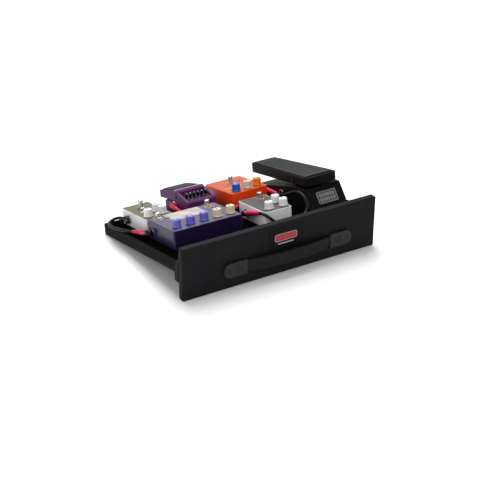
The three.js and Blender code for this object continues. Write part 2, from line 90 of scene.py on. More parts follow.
# ---------------------------------------------------------------- materials
def surface(name, color, rough=0.5, metal=0.0, coat=0.0, sheen=0.0, tint=0.1, tint_mm=14.0,
            grain_mm=1.0, depth_mm=0.03, pattern="noise", rough_by=0.08, stretch=(1, 1, 1),
            second=None, specular=0.5):
    """A procedural finish: a slow change of tone, a fine relief and a roughness that follows the tone.
    second is another colour for the tone to wander to, in place of a darker shade of the first."""
    mat = bpy.data.materials.new(name)
    mat.use_nodes = True
    tree = mat.node_tree
    shader = tree.nodes["Principled BSDF"]
    shader.inputs["Metallic"].default_value = metal
    shader.inputs["Coat Weight"].default_value = coat
    shader.inputs["Coat Roughness"].default_value = 0.18
    shader.inputs["Sheen Weight"].default_value = sheen
    shader.inputs["Sheen Roughness"].default_value = 0.5
    shader.inputs["Specular IOR Level"].default_value = specular

    def node(kind, **values):
        made = tree.nodes.new(kind)
        for key, value in values.items():
            if hasattr(made, key):
                setattr(made, key, value)
            else:
                made.inputs[key].default_value = value
        return made

    place = node("ShaderNodeTexCoord")
    scaled = node("ShaderNodeMapping", Scale=stretch)
    tree.links.new(place.outputs["Object"], scaled.inputs["Vector"])
    slow = node("ShaderNodeTexNoise", Scale=1 / (tint_mm * MM), Detail=3.0, Roughness=0.6)
    tree.links.new(scaled.outputs["Vector"], slow.inputs["Vector"])
    mix = node("ShaderNodeMix", data_type="RGBA")
    light = [min(1.0, c * (1 + tint)) for c in color]
    dark = second or [c * (1 - tint) for c in color]
    mix.inputs["A"].default_value = (*dark, 1)
    mix.inputs["B"].default_value = (*light, 1)
    spread = node("ShaderNodeMapRange")
    spread.inputs["From Min"].default_value, spread.inputs["From Max"].default_value = 0.32, 0.68
    tree.links.new(slow.outputs["Fac"], spread.inputs["Value"])
    tree.links.new(spread.outputs["Result"], mix.inputs["Factor"])
    tree.links.new(mix.outputs["Result"], shader.inputs["Base Color"])
    gloss = node("ShaderNodeMapRange")
    gloss.inputs["To Min"].default_value = max(0.02, rough - rough_by)
    gloss.inputs["To Max"].default_value = min(1.0, rough + rough_by)
    tree.links.new(slow.outputs["Fac"], gloss.inputs["Value"])
    tree.links.new(gloss.outputs["Result"], shader.inputs["Roughness"])
    if pattern == "pebble":
        fine = node("ShaderNodeTexVoronoi", feature="SMOOTH_F1", Scale=1 / (grain_mm * MM))
        height = fine.outputs["Distance"]
    else:
        fine = node("ShaderNodeTexNoise", Scale=1 / (grain_mm * MM), Detail=2.0)
        height = fine.outputs["Fac"]
    tree.links.new(scaled.outputs["Vector"], fine.inputs["Vector"])
    bump = node("ShaderNodeBump", Strength=1.0, Distance=depth_mm * MM)
    bump.invert = pattern == "pebble"
    tree.links.new(height, bump.inputs["Height"])
    tree.links.new(bump.outputs["Normal"], shader.inputs["Normal"])
    return mat


VINYL = surface("vinyl", (0.0105, 0.0110, 0.0120), rough=0.55, tint=0.12, tint_mm=40, grain_mm=1.3,
                depth_mm=0.09, pattern="pebble", specular=0.05)
# Painted shade: the same black vinyl as the front panel, made darker for the deck board and rails, whose
# sides the lamps light more strongly.
BOARD_VINYL_SHADED = surface("board_vinyl_painted_shade", (0.0056, 0.0059, 0.0066), rough=0.6, tint=0.12, tint_mm=40,
                      grain_mm=1.3, depth_mm=0.09, pattern="pebble", specular=0.03)
CARPET = surface("carpet", (0.0016, 0.0016, 0.0018), rough=1.0, tint=0.4, tint_mm=3, grain_mm=0.6,
                 depth_mm=0.3, specular=0.0)
CAP = surface("cap_moulding", (0.0135, 0.0142, 0.0152), rough=0.48, tint_mm=20, grain_mm=0.5, depth_mm=0.03,
              specular=0.25)
STRAP = surface("strap_moulding", (0.0085, 0.009, 0.0098), rough=0.5, tint_mm=25, grain_mm=0.6,
                depth_mm=0.03, specular=0.1)
GREY_ENAMEL = surface("grey_enamel", (0.70, 0.72, 0.76), rough=0.42, coat=0.2, tint=0.05, grain_mm=0.8,
                      depth_mm=0.02)
OLIVE = surface("olive_print", (0.115, 0.108, 0.055), rough=0.45, tint=0.12, tint_mm=8, grain_mm=0.4,
                depth_mm=0.015, specular=0.35)
PURPLE = surface("purple_enamel", (0.014, 0.007, 0.042), rough=0.36, metal=0.1, coat=0.3, tint=0.2,
                 tint_mm=5, grain_mm=0.35, depth_mm=0.012, specular=0.15)
SILVER = surface("brushed_silver", (0.93, 0.94, 0.95), rough=0.38, metal=0.1, tint=0.06, tint_mm=4,
                 grain_mm=0.8, depth_mm=0.012, stretch=(0.06, 1, 1))
SLATE = surface("slate_print", (0.060, 0.062, 0.068), rough=0.42, metal=0.1, tint=0.1, tint_mm=9,
                grain_mm=0.4, depth_mm=0.01, specular=0.35)
ORANGE = surface("orange_enamel", (0.92, 0.060, 0.002), rough=0.4, coat=0.12, tint=0.06, grain_mm=0.6,
                 depth_mm=0.015, specular=0.4)
# Painted sheen: a duller orange than the shell's enamel, laid over the orange box's top to stand for the
# light falling on it.
PAINTED_SHEEN_ORANGE = surface("orange_painted_sheen", (0.45, 0.078, 0.022), rough=0.42, coat=0.2, tint=0.08, tint_mm=9,
                       grain_mm=0.4, depth_mm=0.01, specular=0.4)
VIOLET = surface("violet_enamel", (0.112, 0.028, 0.118), rough=0.36, metal=0.1, tint=0.12,
                 tint_mm=3, grain_mm=0.3, depth_mm=0.015, specular=0.05)
WAH_PAINT = surface("crinkle_enamel", (0.0056, 0.0058, 0.0066), rough=0.5, tint=0.2, tint_mm=6,
                    grain_mm=0.9, depth_mm=0.08, pattern="pebble", specular=0.06)
PAD = surface("pad_rubber", (0.0125, 0.0133, 0.0150), rough=0.55, tint_mm=12, grain_mm=0.5, depth_mm=0.03,
              specular=0.25)
BLACK_PLASTIC = surface("black_plastic", (0.006, 0.006, 0.0066), rough=0.3, tint_mm=8, grain_mm=0.5,
                        depth_mm=0.01, specular=0.3)
NICKEL = surface("nickel", (0.56, 0.53, 0.48), rough=0.18, metal=1.0, tint=0.12, tint_mm=3, grain_mm=0.5,
                 depth_mm=0.006, rough_by=0.06)
STEEL = surface("steel", (0.40, 0.40, 0.41), rough=0.32, metal=1.0, tint_mm=3, grain_mm=0.3, depth_mm=0.006)
STEEL_DARK = surface("blackened_steel", (0.03, 0.03, 0.032), rough=0.35, metal=0.6, tint_mm=3, grain_mm=0.3,
                     depth_mm=0.006)
CRIMSON = surface("crimson_rubber", (0.50, 0.006, 0.055), rough=0.42, coat=0.1, tint=0.1, tint_mm=6,
                  grain_mm=0.5, depth_mm=0.015, specular=0.35)
CORD = surface("cord_jacket", (0.0055, 0.0055, 0.0062), rough=0.4, tint=0.2, tint_mm=6, grain_mm=0.6,
               depth_mm=0.015, specular=0.22)
PATCH = surface("patch_vinyl", (0.0068, 0.0072, 0.0078), rough=0.5, tint_mm=20, grain_mm=0.7, depth_mm=0.03,
                specular=0.05)
PRINT_WHITE = surface("white_print", (0.66, 0.67, 0.69), rough=0.5, tint=0.05, grain_mm=0.3, depth_mm=0.004)
PRINT_GREY = surface("grey_print", (0.34, 0.345, 0.355), rough=0.5, tint=0.05, grain_mm=0.3, depth_mm=0.004)
PRINT_RED = surface("red_print", (0.33, 0.008, 0.024), rough=0.45, tint=0.08, grain_mm=0.3, depth_mm=0.004)
PRINT_GOLD = surface("gold_print", (0.50, 0.29, 0.07), rough=0.4, tint=0.1, grain_mm=0.3, depth_mm=0.004)
PRINT_LILAC = surface("lilac_print", (0.20, 0.17, 0.32), rough=0.45, tint=0.1, grain_mm=0.3, depth_mm=0.004)
# Painted sheen: a greyish mauve, much lighter than the purple enamel, laid over the purple box's glossy top
# to stand for the light it reflects.
PAINTED_SHEEN_MAUVE = surface("mauve_painted_sheen", (0.085, 0.068, 0.118), rough=0.34, coat=0.4, tint=0.3, tint_mm=5,
                      grain_mm=0.4, depth_mm=0.01)
# Painted highlight: a pale lilac, far lighter than the violet enamel, for the light along the equaliser
# treadle's near edge.
PAINTED_HIGHLIGHT_LILAC = surface("lilac_painted_highlight", (0.30, 0.19, 0.36), rough=0.34, metal=0.1, coat=0.2, tint_mm=3,
                      grain_mm=0.3, depth_mm=0.01)
ART = surface("marbled_print", (0.50, 0.45, 0.30), rough=0.45, tint=0.05, tint_mm=26, grain_mm=0.3,
              depth_mm=0.004, second=(0.30, 0.28, 0.38))
PEWTER = surface("pewter", (0.27, 0.265, 0.255), rough=0.36, metal=0.5, tint=0.25, tint_mm=2.5,
                 grain_mm=0.6, depth_mm=0.03)
BADGE_FIELD = surface("badge_field", (0.085, 0.083, 0.080), rough=0.5, metal=0.3, tint=0.3, tint_mm=3,
                      grain_mm=0.5, depth_mm=0.03)
LENS_RED = surface("red_lens", (0.35, 0.01, 0.01), rough=0.12, coat=0.6, tint_mm=2, grain_mm=1,
                   depth_mm=0.002)


def knob_finish(name, color):
    return surface(name, color, rough=0.32, coat=0.15, tint=0.05, tint_mm=6, grain_mm=0.4, depth_mm=0.008)


KNOBS = {
    "knob_white": knob_finish("knob_white", (0.74, 0.74, 0.75)),
    "knob_cream": knob_finish("knob_cream", (0.68, 0.56, 0.40)),
    "knob_blue": knob_finish("knob_blue", (0.005, 0.10, 0.48)),
    "knob_orange": knob_finish("knob_orange", (0.80, 0.20, 0.005)),
    "knob_periwinkle": knob_finish("knob_periwinkle", (0.12, 0.11, 0.48)),
}


# ---------------------------------------------------------------- mesh code, in millimetres
def lathe(profile, sides=32, warp=None, closed=False):
    """Turns (radius, height) points round the z axis. A closed profile makes a ring."""
    bm = bmesh.new()
    rings = []
    for r, z in profile:
        if r < 1e-6:
            rings.append([bm.verts.new((0, 0, z))])
            continue
        ring = []
        for k in range(sides):
            a = 2 * math.pi * k / sides
            rr, zz = warp(r, z, a) if warp else (r, z)
            ring.append(bm.verts.new((rr * math.cos(a), rr * math.sin(a), zz)))
        rings.append(ring)
    pairs = list(zip(rings, rings[1:])) + ([(rings[-1], rings[0])] if closed else [])
    for low, high in pairs:
        for k in range(sides):
            quad = [low[k % len(low)], low[(k + 1) % sides % len(low)],
                    high[(k + 1) % sides % len(high)], high[k % len(high)]]
            corners = list(dict.fromkeys(quad))
            if len(corners) > 2:
                bm.faces.new(corners)
    return bm


def ring(inner, outer, low, high, edge=0.25, sides=32):
    """A washer or collar with its edges eased."""
    return lathe([(inner, low), (outer - edge, low), (outer, low + edge), (outer, high - edge),
                  (outer - edge, high), (inner + edge, high), (inner, high - edge)], sides, closed=True)


def prism(outline, low, high):
    """A flat outline of (x, y) points between two heights."""
    bm = bmesh.new()
    bottom = [bm.verts.new((x, y, low)) for x, y in outline]
    top = [bm.verts.new((x, y, high)) for x, y in outline]
    bm.faces.new(bottom[::-1])
    bm.faces.new(top)
    for i in range(len(outline)):
        j = (i + 1) % len(outline)
        bm.faces.new((bottom[i], bottom[j], top[j], top[i]))
    return bm


def soften(bm, width, steps=2, angle=30):
    """Rounds every edge that turns more than the angle."""
    limit = math.radians(angle)
    edges = [e for e in bm.edges if len(e.link_faces) == 2 and e.calc_face_angle(0) > limit]
    bmesh.ops.bevel(bm, geom=edges, offset=width, segments=steps, profile=0.5, affect="EDGES",
                    clamp_overlap=True)
    return bm


def moved(bm, *matrices):
    for m in matrices:
        bm.transform(m)
    return bm


def at(x=0.0, y=0.0, z=0.0):
    return Matrix.Translation((x, y, z))


def along(start, end):
    """Turns z to run from start to end, with its origin at start."""
    start, end = Vector(start), Vector(end)
    return Matrix.Translation(start) @ (end - start).to_track_quat("Z", "Y").to_matrix().to_4x4()


# SIDEWAYS turns an outline into (y, z), extruded over x; FRONTAL into (x, z), extruded towards -y.
SIDEWAYS = Matrix(((0, 0, 1, 0), (1, 0, 0, 0), (0, 1, 0, 0), (0, 0, 0, 1)))
FRONTAL = Matrix(((1, 0, 0, 0), (0, 0, -1, 0), (0, 1, 0, 0), (0, 0, 0, 1)))


def rounded(width, depth, radius, steps=5, x=0.0, y=0.0):
    points = []
    for q, (sx, sy) in enumerate(((1, 1), (-1, 1), (-1, -1), (1, -1))):
        for k in range(steps + 1):
            a = math.pi / 2 * (q + k / steps)
            points.append((x + sx * (width / 2 - radius) + radius * math.cos(a),
                           y + sy * (depth / 2 - radius) + radius * math.sin(a)))
    return points


def circle(radius, sides, x=0.0, y=0.0, turn=0.0):
    return [(x + radius * math.cos(turn + 2 * math.pi * k / sides),
             y + radius * math.sin(turn + 2 * math.pi * k / sides)) for k in range(sides)]


def put(name, shapes, place, body, slot, material, sharp=32, replaces=None):
    """Makes one piece of these shapes, in the row frame, riding on a CAD body."""
    whole = bmesh.new()
    for shape in shapes if isinstance(shapes, list) else [shapes]:
        part = bpy.data.meshes.new("part")
        bmesh.ops.recalc_face_normals(shape, faces=shape.faces)
        shape.to_mesh(part)
        shape.free()
        whole.from_mesh(part)
        bpy.data.meshes.remove(part)
    whole.transform(place @ Matrix.Scale(MM, 4))
    mesh = bpy.data.meshes.new(name)
    whole.to_mesh(mesh)
    whole.free()
    mesh.polygons.foreach_set("use_smooth", [True] * len(mesh.polygons))
    mesh.set_sharp_from_angle(angle=math.radians(sharp))
    mesh.materials.append(material)
    piece = bpy.data.objects.new(name, mesh)
    bpy.context.scene.collection.objects.link(piece)
    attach(piece, body)
    if replaces:
        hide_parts(replaces)
    return piece


WELD = 0.02  # corners of a CAD node nearer than this are one corner
BEVEL_ANGLE = 33  # a dressed edge that turns less than this stays as it is


def dress(node, material, bevel_mm=0.0, steps=2):
    """Gives a CAD node its finish and, where it has any, eased edges."""
    piece = NODES[node]
    mesh = piece.data
    mesh.materials.clear()
    mesh.materials.append(material)
    if "custom_normal" in mesh.attributes:
        mesh.attributes.remove(mesh.attributes["custom_normal"])
    mesh.polygons.foreach_set("use_smooth", [True] * len(mesh.polygons))
    weld = piece.modifiers.new("weld", "WELD")
    weld.merge_threshold = WELD * MM
    flat = piece.modifiers.new("flat", "DECIMATE")
    flat.decimate_type, flat.angle_limit = "DISSOLVE", math.radians(1)
    if bevel_mm:
        bevel = piece.modifiers.new("bevel", "BEVEL")
        bevel.width, bevel.segments = bevel_mm * MM, steps
        bevel.limit_method, bevel.angle_limit = "ANGLE", math.radians(BEVEL_ANGLE)
        bevel.use_clamp_overlap = True
    piece.modifiers.new("normals", "WEIGHTED_NORMAL")


# ---------------------------------------------------------------- patch leads
LEAD_RADIUS = 3.4
PLUG_HEAD = 6.5  # the usual head of a plug
DISC_HEAD = 8  # a head wider than this is a flat disc
LONG_GRIP = 65  # a grip longer than this starts at a collar
GRIP_RIBS = 18
LEADS = {
    "white_purple": dict(
        plugs=[dict(jack=(-209.5, 259, 43.3), elbow=(-216.2, 259, 43.3), tip=(-216.5, 278, 42.7),
                    color="black", head=9.4),
               dict(jack=(-214, 139, 43.3), elbow=(-222.5, 139, 43.3), tip=(-228.5, 204, 32.6),
                    color="crimson")],
        route=[(-218.6, 291, 41.4), (-224.1, 296.5, 40), (-231.6, 298.5, 38.2), (-239.1, 296.5, 36.3),
               (-244.6, 291, 34.5), (-246.8, 283.5, 33), (-247, 274, 31.8), (-246, 261, 31.1),
               (-243.2, 248, 31), (-239.6, 234.5, 31), (-234.8, 222.5, 31), (-231.2, 214.5, 31.2)]),
    "orange_silver": dict(
        plugs=[dict(jack=(111.7, 233.9, 46.3), elbow=(119.6, 234, 46.3), tip=(118.6, 163, 47),
                    color="crimson"),
               dict(jack=(0.5, 105.5, 42.3), elbow=(-8.1, 105.8, 42.8), tip=(-8.4, 34, 59.6),
                    color="crimson")],
        route=[(118.6, 157, 47.2), (118.8, 144, 48.6), (119.2, 131, 51.5), (119.6, 118, 56),
               (119.9, 104, 61.6), (120, 90, 66.3), (120, 76, 68.2), (119.9, 62.5, 66.2),
               (119.6, 51.5, 60.6), (118.8, 44, 52.6), (116.6, 39.6, 44.2), (112.6, 36.6, 37.4),
               (106.8, 34, 33), (99.8, 30.6, 31.1), (92.5, 25.6, 30.9), (85, 19.6, 30.9),
               (76.5, 14.4, 30.9), (66.5, 11, 30.9), (54, 9.4, 30.9), (42, 9.1, 30.9), (33, 9, 31.5),
               (24, 9, 34), (15.8, 9, 38.4), (9, 9, 44.2), (2.9, 9.8, 50.4), (-2.5, 13.2, 56),
               (-6.5, 18.6, 59.8), (-8.3, 24.8, 61)]),
    "purple_silver": dict(
        plugs=[dict(jack=(-48, 139, 43.3), elbow=(-35, 139, 43.3), tip=(1, 144.5, 48), color="crimson"),
               dict(jack=(69, 115.5, 42.3), elbow=(76.7, 115.2, 42.3), tip=(78.7, 148, 38), color="black")],
        route=[(8, 147.6, 47.2), (17, 152.6, 43.5), (27, 158, 38.4), (38, 163, 34), (49, 167, 31.4),
               (60, 169, 30.9), (69.5, 167, 32), (76, 161, 34.5), (78.7, 153.5, 36.9)]),
    "white_eq": dict(
        plugs=[dict(jack=(-143.5, 259, 43.3), elbow=(-134.9, 259, 43.3), tip=(-133.2, 210, 36),
                    color="black"),
               dict(jack=(-91, 265, 47.3), elbow=(-99.6, 265, 47.3), tip=(-101, 212, 41),
                    color="crimson")],
        route=[(-133, 201.5, 34.2), (-131.6, 193, 32.4), (-127.4, 186.2, 31.2), (-120.6, 182.4, 30.9),
               (-112.9, 182.6, 31.4), (-106.4, 186.6, 32.8), (-102.4, 193.4, 35), (-101.1, 201.5, 38)]),
}


def smooth_line(points, steps=5):
    """A centripetal Catmull-Rom line through the points."""
    ends = [points[0] * 2 - points[1], *points, points[-1] * 2 - points[-2]]
    line = []
    for p0, p1, p2, p3 in zip(ends, ends[1:], ends[2:], ends[3:]):
        t0, t1, t2 = ((b - a).length ** 0.5 for a, b in ((p0, p1), (p1, p2), (p2, p3)))
        out = ((p1 - p0) / t0 - (p2 - p0) / (t0 + t1) + (p2 - p1) / t1) * t1
        back = ((p2 - p1) / t1 - (p3 - p1) / (t1 + t2) + (p3 - p2) / t2) * t1
        for k in range(steps):
            u = k / steps
            line.append(p1 * (2 * u**3 - 3 * u**2 + 1) + out * (u**3 - 2 * u**2 + u)
                        + p2 * (3 * u**2 - 2 * u**3) + back * (u**3 - u**2))
    return line + [points[-1]]


def plug_ends(plug):
    """Where the cord leaves the grip: just past its end, and a little further on."""
    elbow, tip = Vector(plug["elbow"]), Vector(plug["tip"])
    way = (tip - elbow).normalized()
    return [tip + way * 0.3, tip + way * 3.5]


def make_plug(name, node, plug):
    """The metal of the plug, its moulded head and its ribbed grip. A wide head is a flat disc with a ringed
    cover. A long grip bellies out and starts at a black collar."""
    jack, elbow, tip = (Vector(plug[k]) for k in ("jack", "elbow", "tip"))
    out = Vector((1 if elbow.x > jack.x else -1, 0, 0))
    reach = abs(elbow.x - jack.x)
    axis = along(jack, jack + out)
    crimson = plug["color"] == "crimson"
    color, slot = (CRIMSON, "plug_crimson") if crimson else (BLACK_PLASTIC, "black_plastic")
    grip = (tip - elbow).length
    wide = plug.get("head", PLUG_HEAD)
    sleeve = [(0, -19), (2, -19), (3.1, -17), (3.1, 3.2), (4.4, 3.3), (4.4, reach - 1), (0, reach - 1)]
    metal = [moved(lathe(sleeve), axis)]
    rim = reach + 3
    head = [(0, 3.0), (wide - 1, 3.0), (wide - 0.2, 3.8), (wide, rim - 1.6), (wide - 0.9, rim - 0.2)]
    if wide > DISC_HEAD:
        head += [(wide - 1.5, rim - 0.2), (wide - 1.7, rim - 1.0), (wide - 2.5, rim - 1.0),
                 (wide - 2.7, rim - 0.1), (wide - 4.2, rim - 0.1), (wide - 4.4, rim - 0.8)]
        hub = [(0, rim - 0.9), (3.0, rim - 0.9), (3.0, rim - 0.3), (2.2, rim), (0, rim)]
        metal.append(moved(lathe(hub), axis))
    body = [moved(lathe(head + [(0, head[-1][1])]), axis)]
    belly = 6.2 if grip > LONG_GRIP else 5.6
    neck = [(0, 0), (4.6, 0), (5.0, 5), (belly, grip * 0.3), (belly - 0.1, grip * 0.42)]
    ribs = []
    for k in range(GRIP_RIBS + 1):
        u = k / GRIP_RIBS
        groove = 0.6 if k % 2 else 0.0
        ribs.append((belly - 0.4 - (belly - 4.3) * u - groove, grip * (0.46 + 0.52 * u)))
    boot = [moved(lathe(neck + ribs + [(4.0, grip), (0, grip)]), along(elbow, tip))]
    nut = moved(soften(prism(circle(7.4, 6, turn=0.3), 0.25, 2.2), 0.3, 1), axis)
    washer = moved(ring(3.7, 8.4, 0.05, 0.6, 0.15), axis)
    pieces = []
    if grip > LONG_GRIP:
        metal.append(moved(ring(4.2, 5.9, 14.5, 16.5), along(elbow, tip)))
        collar = [(0, 0), (6.3, 0), (6.5, 4), (6.3, 14), (5.4, 15.4), (0, 15.4)]
        body.append(moved(lathe(collar), along(elbow, tip)))
        pieces.append(put(name + "_shroud", body, BOARD, "board", "black_plastic", BLACK_PLASTIC))
        body = []
    moulded = put(name, body + boot, BOARD, "board", slot, color, replaces=node)
    shaft = put(name + "_shaft", metal, BOARD, "board", "nickel", NICKEL)
    put(name + "_socket_nut", [nut, washer], BOARD, "board", "nickel", NICKEL)
    return [moulded, shaft, *pieces]


def make_leads():
    """Each lead: its two plugs, and its cord as one curve between the ends of their grips."""
    for name, lead in LEADS.items():
        pieces = []
        for i, plug in enumerate(lead["plugs"]):
            node = f"lead_{name}_plug_{i + 1}"
            pieces += make_plug(node.replace("plug", "connector"), node, plug)
        first, last = lead["plugs"]
        points = plug_ends(first) + [Vector(p) for p in lead["route"]] + plug_ends(last)[::-1]
        line = [BOARD @ (p * MM) for p in smooth_line(points)]
        curve = bpy.data.curves.new(f"lead_{name}_jacket", "CURVE")
        curve.dimensions, curve.bevel_depth, curve.bevel_resolution = "3D", LEAD_RADIUS * MM, 5
        curve.use_fill_caps = True
        spline = curve.splines.new("POLY")
        spline.points.add(len(line) - 1)
        for point, p in zip(spline.points, line):
            point.co = (*p, 1)
        spline.use_smooth = True
        curve.materials.append(CORD)
        jacket = bpy.data.objects.new(curve.name, curve)
        bpy.context.scene.collection.objects.link(jacket)
        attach(jacket, "board")
        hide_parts(f"lead_{name}_cord")


make_leads()


# ---------------------------------------------------------------- board, panel and handle
def make_board():
    """The vinyl of the board's panels, darkened with painted shade on the deck board and rails, and the
    carpet as a sheet with an uneven pile.
    """
    for node, finish, edge in (("front_panel", VINYL, 2.8), ("panel_cleat", VINYL, 1.4),
                               ("deck_board", BOARD_VINYL_SHADED, 0.4), ("side_rail_left", BOARD_VINYL_SHADED, 0.4),
                               ("side_rail_right", BOARD_VINYL_SHADED, 0.4), ("rear_rail", BOARD_VINYL_SHADED, 0.4)):
        dress(node, finish, edge, 3)
    pile = bmesh.new()
    nx, ny, half, depth = 119, 81, 236.5, 323
    bottom, top, tuft, tuft_size, rim_drop = 25.35, 26.9, 0.28, 3.1, 0.5
    grid = {}
    for level, z in ((0, bottom), (1, top)):
        for i in range(nx):
            for j in range(ny):
                x, y = -half + 2 * half * i / (nx - 1), depth * j / (ny - 1)
                rim = i in (0, nx - 1) or j in (0, ny - 1)
                lift = tuft * noise.noise(Vector((x, y, 7.0)) / tuft_size) if level else 0.0
                if level or rim:
                    height = z + (lift - rim_drop if level and rim else lift)
                    grid[level, i, j] = pile.verts.new((x, y, height))
    for i in range(nx - 1):
        for j in range(ny - 1):
            pile.faces.new([grid[1, i, j], grid[1, i + 1, j], grid[1, i + 1, j + 1], grid[1, i, j + 1]])
    loop = ([(i, 0) for i in range(nx)] + [(nx - 1, j) for j in range(1, ny)]
            + [(i, ny - 1) for i in range(nx - 2, -1, -1)] + [(0, j) for j in range(ny - 2, 0, -1)])
    for a, b in zip(loop, loop[1:] + loop[:1]):
        pile.faces.new([grid[(0, *a)], grid[(0, *b)], grid[(1, *b)], grid[(1, *a)]])
    pile.faces.new([grid[(0, *a)] for a in loop[::-1]])
    put("deck_carpet_pile", pile, BOARD, "board", "loop_carpet", CARPET, sharp=60, replaces="deck_carpet")


def cap_outline(side):
    """The D shape of a handle cap: square where the strap leaves it, round at its far end."""
    outer, inner = HANDLE["height"] / 2, side * HANDLE["half"]
    end = side * (HANDLE["half"] + HANDLE["cap"] - outer)
    points = [(inner, -outer)]
    for k in range(17):
        a = -math.pi / 2 + math.pi * k / 16
        points.append((end + side * outer * math.cos(a), outer * math.sin(a)))
    points.append((inner, outer))
    return points if side > 0 else points[::-1]


def screw_head(radius, height):
    """A pan head with a cross recess."""
    def recess(r, z, a):
        on_cross = min(abs(math.sin(a)), abs(math.cos(a))) * r < 0.13 * radius
        return r, z - (0.45 * height if on_cross and r < 0.62 * radius else 0.0)

    return lathe([(0, height * 0.5), (radius * 0.25, height), (radius * 0.5, height * 0.98),
                  (radius * 0.6, height * 0.95), (radius * 0.8, height * 0.75), (radius, height * 0.2),
                  (radius, 0), (0, 0)], 48, recess)


def make_handle():
    """Two caps with their screws, and the strap as an oval sweep that bows out between them."""
    foot = Vector((HANDLE["x"], PANEL_FACE - HANDLE["gap"], HANDLE["z"]))
    place = Matrix.Translation(foot * MM)
    for side, name in ((-1, "left"), (1, "right")):
        plate = soften(prism(cap_outline(side), 0, 6.6), 2.2, 3, 50)
        band = soften(prism(rounded(10, 30, 3, 4, side * 110.5, 0), 6.2, 7.0), 0.35, 2, 50)
        ridge = [soften(prism(rounded(1.3, 24, 0.6, 3, side * (127 + 2.6 * k), 0), 6.3, 7.0), 0.25, 1, 50)
                 for k in range(3)]
        shapes = [moved(s, FRONTAL) for s in [plate, band, *ridge]]
        put(f"handle_cap_{name}_moulding", shapes, place, "board", "cap_plastic", CAP,
            replaces=f"handle_cap_{name}")
        heads = [moved(screw_head(4.2, 2.2), at(side * x, 0, 6.5), FRONTAL) for x in (121.5, 151)]
        put(f"handle_screws_{name}", heads, place, "board", "black_plastic", STEEL_DARK)
    steps, sides, tongue, taper = 48, 20, 132, 14
    half = HANDLE["half"]
    sweep = bmesh.new()
    rings = []
    for i in range(steps + 1):
        x = -tongue + 2 * tongue * i / steps
        inside = max(0.0, 1 - (abs(x) / half) ** 2)
        grow = min(1.0, max(0.0, (half - abs(x)) / taper))
        grow = grow * grow * (3 - 2 * grow)
        thick, tall = 1.4 + 1.6 * grow, 12.6 + 1.4 * grow
        middle = 3.5 + HANDLE["bow"] * inside
        rows = []
        for k in range(sides):
            a = 2 * math.pi * (k + 0.5) / sides
            c, s = math.cos(a), math.sin(a)
            px = math.copysign(abs(c) ** 0.45, c) * thick
            pz = math.copysign(abs(s) ** 0.32, s) * tall
            rows.append(sweep.verts.new((x, -(middle + px), pz)))
        rings.append(rows)
    for a, b in zip(rings, rings[1:]):
        for k in range(sides):
            sweep.faces.new([a[k], a[(k + 1) % sides], b[(k + 1) % sides], b[k]])
    sweep.faces.new(rings[0][::-1])
    sweep.faces.new(rings[-1])
    put("handle_strap_moulding", sweep, place, "board", "strap_rubber", STRAP, sharp=50,
        replaces="handle_strap")


def make_front_mark():
    """A plain emblem: a red bar in a white border over a white rule, on a dark patch."""
    place = Matrix.Translation(Vector((EMBLEM_X, PANEL_FACE, EMBLEM_Z)) * MM)
    stack = (("patch", rounded(88, 56, 2, 4), 0.05, 0.5, "black_plastic", PATCH),
             ("border", rounded(55.5, 17, 4.5, 6, 0, 3), 0.5, 0.75, "knob_white", PRINT_GREY),
             ("bar", rounded(53.2, 14.8, 3.4, 6, 0, 3), 0.7, 1.0, "plug_crimson", PRINT_RED),
             ("rule", rounded(40, 2.6, 1.2, 4, 0, -11), 0.5, 0.75, "knob_white", PRINT_GREY))
    for name, outline, low, high, slot, material in stack:
        put(f"front_emblem_{name}", moved(soften(prism(outline, low, high), 0.08, 1, 50), FRONTAL), place,
            "board", slot, material)


# ---------------------------------------------------------------- knobs, switches and lights
FLUTES, FLUTE_DEPTH = 9, 0.75
KNOB_TAPER = 3.2  # degrees that the side of a knob leans in
THREAD_PITCH = 0.9
TOP_PLATE = 0.35  # thickness of a separate plate on a pedal's top
PRINT_AND_SHEEN_LAYER = 0.2  # thickness of a thin layer on the enamel: a print, and the painted sheen on the orange and purple tops
MARKS_LIFT = 0.18  # dial marks start this far up in such a layer


def make_knob(name, x, y, z, place, finish, pointer, smooth):
    """A barrel knob with a skirt, a dished top and a pointer inlay, either smooth or with deep flutes."""
    def flute(r, h, a):
        if not smooth and 3.6 < h < 16.9 and r > 8:
            return r - FLUTE_DEPTH * (0.5 + 0.5 * math.cos(FLUTES * a)) ** 2, h
        return r, h

    top = [(9.15, 15.2), (8.8, 16.6), (8.2, 17.3)] if smooth else [(9.25, 15.2), (9.1, 16.8), (8.7, 17.4)]
    profile = [(0, 1.2), (9.8, 1.2), (10.3, 1.6), (10.3, 2.8), (9.95, 3.4), (9.7, 4.0), (9.5, 10), *top,
               (7.6, 17.45), (6.9, 17.1), (0, 17)]
    shape = lathe(profile, 90, flute)
    shaft = lathe([(0, -6), (3, -6), (3, 2), (0, 2)], 24)
    put(name + "_barrel", [moved(s, at(x, y, z)) for s in (shape, shaft)], place, name, finish,
        KNOBS[finish], sharp=36, replaces=name)
    line = soften(prism(rounded(1.6, 7.8, 0.6, 3, 0, 3.7), 16.95, 17.5), 0.15, 1, 50)
    side = soften(prism(rounded(1.5, 10.8, 0.5, 3, 0, 0), 0, 0.6), 0.12, 1, 50)
    side = moved(side, Matrix.Rotation(math.radians(90 - KNOB_TAPER), 4, "X"), at(0, 9.95, 10.1))
    put(name + "_pointer", [moved(s, at(x, y, z)) for s in (line, side)], place, name, *pointer)


